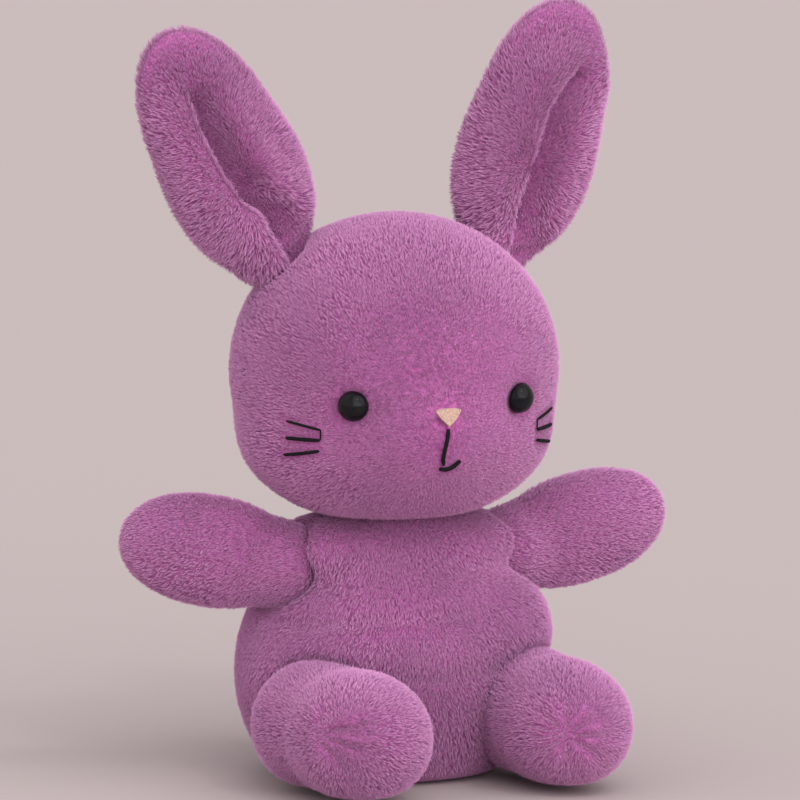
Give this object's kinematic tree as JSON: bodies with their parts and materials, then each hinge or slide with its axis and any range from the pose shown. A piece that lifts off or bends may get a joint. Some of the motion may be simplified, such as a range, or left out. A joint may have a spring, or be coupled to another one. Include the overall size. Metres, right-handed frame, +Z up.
{
  "type": "stuffed rabbit",
  "caption": "Seated stuffed rabbit in short-pile plush, with upright folded ears, bead eyes, a stitched nose and floppy stuffed arms and legs.",
  "frame": {"origin": "on the floor under the middle of the neck, at the height of the flat seat", "axes": "+Z up, the rabbit faces -Y, its left side is +X"},
  "size_m": [0.1522, 0.118, 0.1987],
  "materials": {
    "plush": "short pile, soft sheen",
    "plush_thread": "thin sewing thread",
    "black_thread": "stranded thread",
    "cream_thread": "satin stitch",
    "eye_black": "polished",
    "washer_white": "moulded",
    "filling": "loose fibre",
    "cotton": "plain weave",
    "pellets": "loose pellets"
  },
  "bodies": {
    "body": {"body_front": "plush", "body_back_left": "plush", "body_back_right": "plush", "body_seat": "plush", "body_stuffing": "filling", "bean_pouch": "cotton", "bean_fill": "pellets", "closing_stitch": "plush_thread", "tail_skin": "plush", "tail_stuffing": "filling"},
    "neck": {"neck_stuffing": "filling", "neck_stitches": "plush_thread"},
    "head": {"head_left": "plush", "head_right": "plush", "head_gusset": "plush", "head_stuffing": "filling", "eye_left": "eye_black", "eye_right": "eye_black", "eye_washer_left": "washer_white", "eye_washer_right": "washer_white", "nose": "cream_thread", "mouth": "black_thread", "whiskers_left": "black_thread", "whiskers_right": "black_thread"},
    "ear_left": {"ear_left_front": "plush", "ear_left_back": "plush", "ear_left_wadding": "filling"},
    "ear_right": {"ear_right_front": "plush", "ear_right_back": "plush", "ear_right_wadding": "filling"},
    "shoulder_left": {"arm_left_stitches": "plush_thread"},
    "arm_left": {"arm_left_front": "plush", "arm_left_back": "plush", "arm_left_stuffing": "filling"},
    "shoulder_right": {"arm_right_stitches": "plush_thread"},
    "arm_right": {"arm_right_front": "plush", "arm_right_back": "plush", "arm_right_stuffing": "filling"},
    "hip_left": {"leg_left_stitches": "plush_thread"},
    "leg_left": {"leg_left_inner": "plush", "leg_left_outer": "plush", "leg_left_stuffing": "filling"},
    "hip_right": {"leg_right_stitches": "plush_thread"},
    "leg_right": {"leg_right_inner": "plush", "leg_right_outer": "plush", "leg_right_stuffing": "filling"}
  },
  "joints": [
    {"name": "neck_nod", "type": "hinge", "parent": "body", "child": "neck", "pos_m": [0, 0, 0.065], "axis": [1, 0, 0], "range_deg": [-12, 12], "stiffness_Nm_per_rad": 0.12},
    {"name": "neck_turn", "type": "hinge", "parent": "neck", "child": "head", "pos_m": [0, 0, 0.065], "axis": [0, 0, 1], "range_deg": [-35, 35], "stiffness_Nm_per_rad": 0.06},
    {"name": "ear_left_flop", "type": "hinge", "parent": "head", "child": "ear_left", "pos_m": [0.03064, 0.00267, 0.1355], "axis": [0.9502, -0.0415, -0.309], "range_deg": [-25, 37], "stiffness_Nm_per_rad": 0.02},
    {"name": "ear_right_flop", "type": "hinge", "parent": "head", "child": "ear_right", "pos_m": [-0.0303, 0.00533, 0.1355], "axis": [0.8821, -0.0385, 0.4695], "range_deg": [-25, 37], "stiffness_Nm_per_rad": 0.02},
    {"name": "shoulder_left_swing", "type": "hinge", "parent": "body", "child": "shoulder_left", "pos_m": [0.031, -0.001, 0.056], "axis": [0, 0, -1], "range_deg": [-15, 30], "stiffness_Nm_per_rad": 0.03},
    {"name": "arm_left_raise", "type": "hinge", "parent": "shoulder_left", "child": "arm_left", "pos_m": [0.031, -0.001, 0.056], "axis": [0, -1, 0], "range_deg": [-10, 12], "stiffness_Nm_per_rad": 0.03},
    {"name": "shoulder_right_swing", "type": "hinge", "parent": "body", "child": "shoulder_right", "pos_m": [-0.031, -0.001, 0.056], "axis": [0, 0, 1], "range_deg": [-15, 30], "stiffness_Nm_per_rad": 0.03},
    {"name": "arm_right_raise", "type": "hinge", "parent": "shoulder_right", "child": "arm_right", "pos_m": [-0.031, -0.001, 0.056], "axis": [0, 1, 0], "range_deg": [-10, 12], "stiffness_Nm_per_rad": 0.03},
    {"name": "hip_left_splay", "type": "hinge", "parent": "body", "child": "hip_left", "pos_m": [0.0295, -0.02, 0.0172], "axis": [0, 0, 1], "range_deg": [-2, 28], "stiffness_Nm_per_rad": 0.04},
    {"name": "leg_left_lift", "type": "hinge", "parent": "hip_left", "child": "leg_left", "pos_m": [0.0295, -0.02, 0.0172], "axis": [-1, 0, 0], "range_deg": [-35, 9], "stiffness_Nm_per_rad": 0.04},
    {"name": "hip_right_splay", "type": "hinge", "parent": "body", "child": "hip_right", "pos_m": [-0.0295, -0.02, 0.0172], "axis": [0, 0, -1], "range_deg": [-2, 28], "stiffness_Nm_per_rad": 0.04},
    {"name": "leg_right_lift", "type": "hinge", "parent": "hip_right", "child": "leg_right", "pos_m": [-0.0295, -0.02, 0.0172], "axis": [-1, 0, 0], "range_deg": [-35, 9], "stiffness_Nm_per_rad": 0.04}
  ]
}
